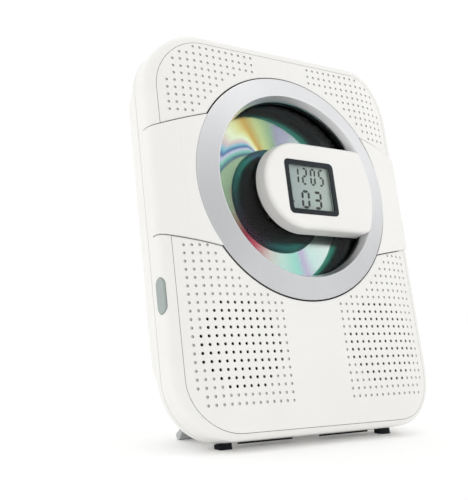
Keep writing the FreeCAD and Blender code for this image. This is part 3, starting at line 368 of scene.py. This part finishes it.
# printed can with bare metal ends
def cellCan():
    material, tree, shader = newFinish("cellCan", Coat_Weight=0.4, Coat_Roughness=0.12)
    spot = addNode(tree, "SeparateXYZ", {0: addNode(tree, "TexCoord").outputs["Object"]})
    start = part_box("battery_cells")[0].x
    way = calc(tree, "MULTIPLY", calc(tree, "SUBTRACT", spot.outputs[0], start), 1000.0)
    inCell = calc(tree, "MODULO", way, cellLook["pitch"])
    bare = calc(tree, "MAXIMUM", ease(tree, inCell, 0.5, 0.3),
                ease(tree, inCell, cellLook["body"], cellLook["body"] + 0.2))
    grain = place(tree, mouldGrain, Grain=2400.0, Patch=70.0)
    can = mixTones(tree, grain["Tone"], cellLook["can"], cellLook["second"])
    tree.links.new(mixTones(tree, bare, can, cellLook["metal"]), shader["Base Color"])
    tree.links.new(bare, shader["Metallic"])
    tree.links.new(calc(tree, "MULTIPLY_ADD", grain["Gloss"], 0.1, 0.25), shader["Roughness"])
    bumped(tree, shader, grain["Height"], 0.000008)
    return material


finishes = {
    "white_shell": plastic("whiteShell", whiteShellLook), "silver": silverPaint(),
    "tinted_window": windowTint(), "black_plastic": plastic("blackPlastic", blackPlasticLook),
    "grey_plastic": plastic("greyPlastic", greyPlasticLook), "button_grey": plastic("buttonGrey", buttonLook),
    "clear": clearCover(), "steel": metal("brightSteel", steelLook),
    "rubber": plastic("footRubber", rubberLook), "board_green": boardLaminate(), "cone_paper": conePulp(),
    "magnet": plastic("ferrite", magnetLook), "gear_white": plastic("acetal", gearLook),
    "cell_green": cellCan(),
    "cloth": grilleCloth(), "lens_glass": lensCoating(),
}
# painted shade: the grille panels' dimples and holes are darkened by a strong ambient-occlusion mask
panelLook = dict(whiteShellLook, dustAndShade=0.85, gain=3.2, reach=0.0016, dirtAndShade=(0.33, 0.325, 0.31))
panelFinish = plastic("panelWhite", panelLook)
ownFinish = {"display_frame": plastic("displayRim", displayRimLook),
             "upper_grille_panel": panelFinish, "lower_grille_panel": panelFinish}
slotOf = {row["node"]: row["material_slot"] for row in frame["record"]["subparts"]}
for name, node in nodes.items():
    finish = ownFinish.get(name) or finishes.get(slotOf[name])
    if finish:
        node.data.materials.clear()
        node.data.materials.append(finish)
print("finishes on", len(nodes), "nodes")


# making pieces
# turns a bmesh drawn in the case's directions into a piece that rides on a body
def finishPiece(name, mesh, body, materials, replaced=(), smooth=35):
    data = bpy.data.meshes.new(name)
    bmesh.ops.recalc_face_normals(mesh, faces=mesh.faces)
    mesh.to_mesh(data)
    mesh.free()
    for material in materials:
        data.materials.append(material)
    piece = bpy.data.objects.new(name, data)
    scene.collection.objects.link(piece)
    piece.matrix_world = caseMatrix
    data.shade_smooth()
    data.set_sharp_from_angle(angle=math.radians(smooth))
    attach(piece, body)
    if replaced:
        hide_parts(*replaced)
    return piece


# a solid of revolution about the disc's axis: profile is a closed run of (radius, depth) in metres
def turned(mesh, profile, steps=240, zones=None):
    rings = []
    for r, y in profile:
        rings.append([mesh.verts.new((r * math.cos(a), y, r * math.sin(a)))
                      for a in [2 * math.pi * i / steps for i in range(steps)]])
    for k, ring in enumerate(rings):
        other = rings[(k + 1) % len(rings)]
        for i in range(steps):
            j = (i + 1) % steps
            face = mesh.faces.new((ring[i], ring[j], other[j], other[i]))
            face.material_index = zones[k] if zones else 0


# the disc
# the disc carries a painted reflection: a bright zone of painted highlight and a darker zone, both fixed to the
# disc
discLook = {"rim": 60.0, "bore": 7.5, "thick": 1.2, "hub": 22.0, "ringIn": 16.4, "ringOut": 17.4,
            "ringHigh": 0.15, "soft": 0.15,  # mm
            "brightCentre": (-15.0, -5.8), "brightReach": 52.4,  # the bright zone lies inside this circle
            "darkCentre": (-5.0, -5.0), "darkReach": 32.0,  # and outside this one
            "rough": 0.16}
# colours round the disc from the right, counter-clockwise, as shares of a turn
brightStops = [(0.15, (0.57, 0.74, 0.64)), (0.215, (0.46, 0.43, 0.53)), (0.245, (0.41, 0.37, 0.50)),
               (0.268, (0.37, 0.50, 0.31)), (0.30, (0.64, 0.66, 0.31)), (0.325, (0.70, 0.41, 0.10)),
               (0.345, (0.89, 0.79, 0.37)), (0.372, (0.96, 0.97, 0.69)), (0.397, (0.83, 0.60, 0.61)),
               (0.412, (0.31, 0.57, 0.69)), (0.425, (0.09, 0.17, 0.37)), (0.436, (0.64, 0.61, 0.76)),
               (0.452, (0.27, 0.57, 0.47)), (0.468, (0.07, 0.14, 0.23)), (0.478, (0.39, 0.47, 0.31)),
               (0.54, (0.31, 0.41, 0.27)), (0.615, (0.31, 0.03, 0.06)), (0.65, (0.57, 0.10, 0.14)),
               (0.69, (0.76, 0.61, 0.57)), (0.725, (0.64, 0.79, 0.71)), (0.765, (0.39, 0.74, 0.64)),
               (0.785, (0.64, 0.50, 0.71)), (0.81, (0.71, 0.84, 0.80)), (0.86, (0.87, 0.90, 0.86))]
darkStops = [(0.0, (0.012, 0.035, 0.036)), (0.12, (0.016, 0.05, 0.06)), (0.30, (0.03, 0.13, 0.13)),
             (0.36, (0.05, 0.09, 0.14)), (0.40, (0.02, 0.17, 0.13)), (0.50, (0.016, 0.10, 0.09)),
             (0.55, (0.02, 0.035, 0.045)), (0.60, (0.032, 0.010, 0.028)), (0.66, (0.03, 0.012, 0.03)),
             (0.70, (0.014, 0.08, 0.08)), (0.77, (0.02, 0.14, 0.12)), (0.83, (0.014, 0.06, 0.056)),
             (1.0, (0.012, 0.035, 0.036))]
edgeStops = [(0.0, (0.04, 0.24, 0.16)), (0.25, (0.03, 0.20, 0.17)), (0.45, (0.04, 0.17, 0.22)),
             (0.62, (0.035, 0.17, 0.17)), (0.85, (0.035, 0.08, 0.11)), (1.0, (0.03, 0.065, 0.09))]


# painted reflection: the colours that the tracks break the light into, and the bright and dark zones of the
# mirror, fixed to the disc
def makeDiscRainbow():
    tree, given, out = newGroup("discRainbow", {"Twist": 2.6}, {"Color": "Color", "Bright": "Float"})
    spot = addNode(tree, "SeparateXYZ", {0: addNode(tree, "TexCoord").outputs["Object"]})
    x = calc(tree, "MULTIPLY", spot.outputs[0], 1000.0)
    z = calc(tree, "MULTIPLY", spot.outputs[2], 1000.0)

    def distance(centre):
        dx = calc(tree, "SUBTRACT", x, centre[0])
        dz = calc(tree, "SUBTRACT", z, centre[1])
        return calc(tree, "SQRT", calc(tree, "MULTIPLY_ADD", dx, dx, calc(tree, "MULTIPLY", dz, dz)))

    radius = distance((0.0, 0.0))
    share = calc(tree, "DIVIDE", calc(tree, "ARCTAN2", z, x), 2 * math.pi)
    turn = calc(tree, "FRACT", calc(tree, "ADD", share, 1.0))
    inner = calc(tree, "MAXIMUM", calc(tree, "SUBTRACT", 44.5, radius), 0.0)
    bend = calc(tree, "MULTIPLY", calc(tree, "DIVIDE", given["Twist"], 360.0), inner)
    turning = calc(tree, "MULTIPLY", ease(tree, turn, 0.325, 0.36), ease(tree, turn, 0.56, 0.50))
    twisted = calc(tree, "MULTIPLY_ADD", bend, turning, turn)
    wobble = addNode(tree, "TexNoise", {"Vector": addNode(tree, "TexCoord").outputs["Object"], "Scale": 28.0})
    waver = calc(tree, "MULTIPLY_ADD", wobble.outputs[0], 0.012, -0.006)
    bright = ramp(tree, calc(tree, "ADD", twisted, waver), brightStops)
    fromDark = distance(discLook["darkCentre"])
    phase = calc(tree, "MULTIPLY_ADD", wobble.outputs[0], 2.0, calc(tree, "MULTIPLY", fromDark, 1.1))
    rings = calc(tree, "SINE", phase)
    stripe = calc(tree, "MULTIPLY_ADD", rings, 0.28, 0.80)
    dark = mixTones(tree, 1.0, ramp(tree, turn, darkStops),
                    addNode(tree, "CombineColor", {0: stripe, 1: stripe, 2: stripe}).outputs[0], "MULTIPLY")
    fromBright = distance(discLook["brightCentre"])
    overshoot = calc(tree, "SUBTRACT", fromBright, discLook["brightReach"])
    beyond = calc(tree, "DIVIDE", overshoot, 22.0, clamp=True)
    outside = ramp(tree, beyond, edgeStops)
    inside = ease(tree, fromBright, discLook["brightReach"] + 0.35, discLook["brightReach"] - 0.35)
    past = ease(tree, fromDark, discLook["darkReach"] - 0.35, discLook["darkReach"] + 0.35)
    shown = mixTones(tree, inside, outside, mixTones(tree, past, dark, bright))
    plug(tree, out["Color"], shown)
    plug(tree, out["Bright"], calc(tree, "MULTIPLY", inside, past))
    return tree


def discMirror():
    material, tree, shader = newFinish("discMirror", Metallic=1.0)
    colours = place(tree, makeDiscRainbow(), Twist=2.6)
    tree.links.new(colours["Color"], shader["Base Color"])
    grain = place(tree, mouldGrain, Grain=600.0, Patch=40.0)
    tree.links.new(calc(tree, "MULTIPLY_ADD", grain["Gloss"], 0.06, discLook["rough"]), shader["Roughness"])
    return material


def makeDisc():
    d = discLook
    front = span("disc")[0].y
    back = front + d["thick"] * mm
    soft = d["soft"] * mm
    rim, bore, hub = d["rim"] * mm, d["bore"] * mm, d["hub"] * mm
    high = front + d["ringHigh"] * mm
    ringIn, ringOut = d["ringIn"] * mm, d["ringOut"] * mm
    profile = [(bore, front + soft), (bore + soft, front), (ringIn, front), (ringIn + soft, high),
               (ringOut - soft, high), (ringOut, front), (hub, front), (hub + soft, front),
               (rim - soft, front), (rim, front + soft), (rim, back - soft), (rim - soft, back),
               (hub + soft, back), (hub, back), (bore + soft, back), (bore, back - soft)]
    clearRuns = [r < hub - 1e-9 or k == len(profile) - 1 for k, (r, y) in enumerate(profile)]
    zones = [1 if clearRun or k == 13 else 0 for k, clearRun in enumerate(clearRuns)]  # 13 is the hub's back
    mesh = bmesh.new()
    turned(mesh, profile, 288, zones)
    materials = [discMirror(), finishes["clear"]]
    return finishPiece("compact_disc", mesh, "spindle", materials, ["disc"], 20)


makeDisc()
print("disc made")

# the display
displayLook = {"clock": "1205", "clockLeft": -3.2, "clockTop": 11.5, "clockHigh": 10.8, "clockWide": 4.1,
               "clockPitch": 6.2, "track": "03", "trackLeft": 1.6, "trackTop": -2.6, "trackHigh": 11.3,
               "trackWide": 6.2, "trackPitch": 8.9,
               "clockStroke": 1.25, "trackStroke": 1.6, "gap": 0.3, "lift": 0.05, "slant": 0.07,
               "mark": (-6.2, -10.0, 2.6, 0.9)}  # mm
segmentsOf = {"0": "abcdef", "1": "bc", "2": "abged", "3": "abgcd", "4": "fgbc", "5": "afgcd", "6": "afgedc",
              "7": "abc", "8": "abcdefg", "9": "abcdfg"}


# grey-green glass, with painted shade making it a little darker to the left
def lcdPanel():
    material, tree, shader = newFinish("lcdPanel", Coat_Weight=0.3, Coat_Roughness=0.15)
    grain = place(tree, mouldGrain, Grain=3000.0, Patch=120.0)
    spot = addNode(tree, "SeparateXYZ", {0: addNode(tree, "TexCoord").outputs["Object"]})
    low, high = span("display_glass")
    # painted shade: the glass tone runs from darker at the left to lighter at the right
    rightward = ease(tree, spot.outputs[0], low.x, high.x)
    tone = mixTones(tree, rightward, (0.54, 0.64, 0.62), (0.68, 0.78, 0.71))
    tree.links.new(mixTones(tree, calc(tree, "MULTIPLY", grain["Tone"], 0.12), tone, (0.57, 0.66, 0.62)),
                   shader["Base Color"])
    tree.links.new(calc(tree, "MULTIPLY_ADD", grain["Gloss"], 0.08, 0.3), shader["Roughness"])
    bumped(tree, shader, grain["Height"], 0.000004)
    return material


def lcdInk():
    material, tree, shader = newFinish("lcdInk", Specular_IOR_Level=0.3)
    grain = place(tree, mouldGrain, Grain=3000.0, Patch=500.0)
    ink = mixTones(tree, grain["Tone"], (0.022, 0.03, 0.027), (0.035, 0.045, 0.04))
    tree.links.new(ink, shader["Base Color"])
    tree.links.new(calc(tree, "MULTIPLY_ADD", grain["Gloss"], 0.1, 0.4), shader["Roughness"])
    return material


# one bar of a digit with pointed ends, between two spots in millimetres
def segmentShape(mesh, ends, stroke, y, lift):
    (x0, z0), (x1, z1) = ends
    reach = math.hypot(x1 - x0, z1 - z0)
    ux, uz = (x1 - x0) / reach, (z1 - z0) / reach
    half = stroke / 2
    outline = [(0, 0), (half, half), (reach - half, half), (reach, 0), (reach - half, -half), (half, -half)]
    layers = []
    for depth in (y, y - lift):
        spots = [(x0 + ux * a - uz * b, z0 + uz * a + ux * b) for a, b in outline]
        slant = displayLook["slant"]
        layers.append([mesh.verts.new(((x + slant * z) * mm, depth * mm, z * mm)) for x, z in spots])
    for k in range(6):
        n = (k + 1) % 6
        mesh.faces.new((layers[0][k], layers[0][n], layers[1][n], layers[1][k]))
    mesh.faces.new(layers[1])
    mesh.faces.new(layers[0][::-1])


def digit(mesh, number, left, top, wide, high, stroke, y):
    d = displayLook
    half = stroke / 2
    x0, x1 = left + half, left + wide - half
    zTop, zMid, zLow = top - half, top - high / 2, top - high + half
    g = d["gap"]
    bars = {"a": ((x0 + g, zTop), (x1 - g, zTop)), "g": ((x0 + g, zMid), (x1 - g, zMid)),
            "d": ((x0 + g, zLow), (x1 - g, zLow)), "f": ((x0, zMid + g), (x0, zTop - g)),
            "b": ((x1, zMid + g), (x1, zTop - g)), "e": ((x0, zLow + g), (x0, zMid - g)),
            "c": ((x1, zLow + g), (x1, zMid - g))}
    for bar in segmentsOf[number]:
        segmentShape(mesh, bars[bar], stroke, y, d["lift"])


def makeDisplay():
    d = displayLook
    low, high = span("display_glass")
    mesh = bmesh.new()
    bmesh.ops.create_cube(mesh, size=1.0)
    size = high - low
    middle = (low + high) / 2
    for v in mesh.verts:
        v.co = Vector((v.co.x * size.x, v.co.y * size.y, v.co.z * size.z)) + middle
    bmesh.ops.bevel(mesh, geom=mesh.edges[:], offset=0.2 * mm, segments=2, affect="EDGES")
    finishPiece("display_panel", mesh, "door", [lcdPanel()], ["display_glass"])
    front = low.y / mm
    mesh = bmesh.new()
    for row in ("clock", "track"):
        for i, number in enumerate(d[row]):
            left = d[row + "Left"] + i * d[row + "Pitch"]
            digit(mesh, number, left, d[row + "Top"], d[row + "Wide"], d[row + "High"],
                  d[row + "Stroke"], front)
    x, z, wide, stroke = d["mark"]
    segmentShape(mesh, ((x, z), (x + wide, z)), stroke, front, d["lift"])
    finishPiece("display_digits", mesh, "door", [lcdInk()])


makeDisplay()
print("display made")

# speaker cloth
clothLook = {"rings": 14, "steps": 96, "sag": 0.25, "thick": 0.3}  # mm


def makeCloths():
    low, high = span("speaker_cloth")
    radius = (high.z - low.z) / 2
    middleZ = (high.z + low.z) / 2
    for side, name in ((-1, "left_speaker_cloth"), (1, "right_speaker_cloth")):
        centreX = side * (high.x - radius)
        mesh = bmesh.new()
        front, back = low.y, low.y + clothLook["thick"] * mm
        layers = []
        for depth in (front, back):
            hubVert = mesh.verts.new((centreX, depth + clothLook["sag"] * mm, middleZ))
            rings = []
            for k in range(1, clothLook["rings"] + 1):
                r = radius * k / clothLook["rings"]
                dip = clothLook["sag"] * mm * (1 - (r / radius) ** 2)
                turns = [2 * math.pi * i / clothLook["steps"] for i in range(clothLook["steps"])]
                y = depth + dip
                rings.append([mesh.verts.new((centreX + r * math.cos(a), y, middleZ + r * math.sin(a)))
                              for a in turns])
            layers.append((hubVert, rings))
            for i in range(clothLook["steps"]):
                j = (i + 1) % clothLook["steps"]
                mesh.faces.new((hubVert, rings[0][i], rings[0][j]))
                for k in range(len(rings) - 1):
                    mesh.faces.new((rings[k][i], rings[k][j], rings[k + 1][j], rings[k + 1][i]))
        for i in range(clothLook["steps"]):
            j = (i + 1) % clothLook["steps"]
            one, two = layers[0][1][-1], layers[1][1][-1]
            mesh.faces.new((one[i], one[j], two[j], two[i]))
        piece = finishPiece(name, mesh, "case", [finishes["cloth"]],
                            ["speaker_cloth"] if side < 0 else [])


makeCloths()
print("speaker cloth made")

# floor, lights and camera
studio = {"floorReach": 30.0, "floorTone": (0.96, 0.96, 0.955), "floorGlow": 0.08,
          "keyPlace": (1.15, -0.55, 0.75), "keySize": 0.8, "keyPower": 0.8,
          "topPlace": (0.1, 0.1, 1.3), "topSize": 1.0, "topPower": 0.8,
          "world": 1.06, "front": 0.60, "right": 0.88}


def makeFloor():
    reach, tone = studio["floorReach"], studio["floorTone"]
    mesh = bmesh.new()
    bmesh.ops.create_grid(mesh, x_segments=8, y_segments=8, size=reach)
    data = bpy.data.meshes.new("floor")
    mesh.to_mesh(data)
    mesh.free()
    floor = bpy.data.objects.new("floor", data)
    scene.collection.objects.link(floor)
    material, tree, shader = newFinish("floorPaper", Specular_IOR_Level=0.1,
                                       Emission_Strength=studio["floorGlow"])
    shader["Emission Color"].default_value = (1, 1, 1, 1)
    grain = place(tree, mouldGrain, Grain=900.0, Patch=3.0)
    tree.links.new(mixTones(tree, grain["Tone"], tone, [c * 0.985 for c in tone]), shader["Base Color"])
    tree.links.new(calc(tree, "MULTIPLY_ADD", grain["Gloss"], 0.05, 0.9), shader["Roughness"])
    data.materials.append(material)


def makeLight(name, spot, size, power, target, tone=(1, 1, 1)):
    light = bpy.data.lights.new(name, "AREA")
    light.shape = "DISK"
    light.size = size
    light.energy = power
    light.color = tone
    lamp = bpy.data.objects.new(name, light)
    scene.collection.objects.link(lamp)
    lamp.location = spot
    lamp.rotation_mode = "QUATERNION"
    lamp.rotation_quaternion = (Vector(target) - Vector(spot)).to_track_quat("-Z", "Y")


# a white room that is dimmer towards the front, where the camera stands
def makeWorld():
    world = bpy.data.worlds.new("studioRoom")
    scene.world = world
    world.use_nodes = True
    tree = world.node_tree
    shader = tree.nodes["Background"]
    way = addNode(tree, "SeparateXYZ", {0: addNode(tree, "TexCoord").outputs["Generated"]})
    ahead = ease(tree, calc(tree, "MULTIPLY", way.outputs[1], -1.0), 0.2, 0.95)
    left = ease(tree, calc(tree, "MULTIPLY", way.outputs[0], -1.0), -0.6, 0.4)
    shade = calc(tree, "MULTIPLY", ahead, left)
    right = ease(tree, way.outputs[0], 0.15, 0.9)
    tone = mixTones(tree, right, (1.0, 1.0, 1.0), [studio["right"]] * 3)
    tone = mixTones(tree, shade, tone, [studio["front"]] * 3)
    seen = addNode(tree, "LightPath").outputs["Is Camera Ray"]
    tree.links.new(mixTones(tree, seen, tone, (1.0, 1.0, 1.0)), shader.inputs["Color"])
    shader.inputs["Strength"].default_value = studio["world"]


cameraLook = {"place": (-0.30387, -0.39986, 0.07532), "turn": (93.637, -0.823, -34.182),
              "lens": 61.04, "sensor": 36.0}


def makeCamera():
    data = bpy.data.cameras.new("camera")
    data.lens = cameraLook["lens"]
    data.sensor_width = cameraLook["sensor"]
    data.clip_start, data.clip_end = 0.01, 50
    camera = bpy.data.objects.new("camera", data)
    scene.collection.objects.link(camera)
    camera.location = cameraLook["place"]
    camera.rotation_euler = [math.radians(a) for a in cameraLook["turn"]]
    scene.camera = camera


middle = (cadLow + cadHigh) / 2
makeFloor()
makeWorld()
makeLight("keyLight", studio["keyPlace"], studio["keySize"], studio["keyPower"], middle)
makeLight("topLight", studio["topPlace"], studio["topSize"], studio["topPower"], middle)
makeCamera()
scene.view_settings.view_transform = "Standard"
print("studio made")
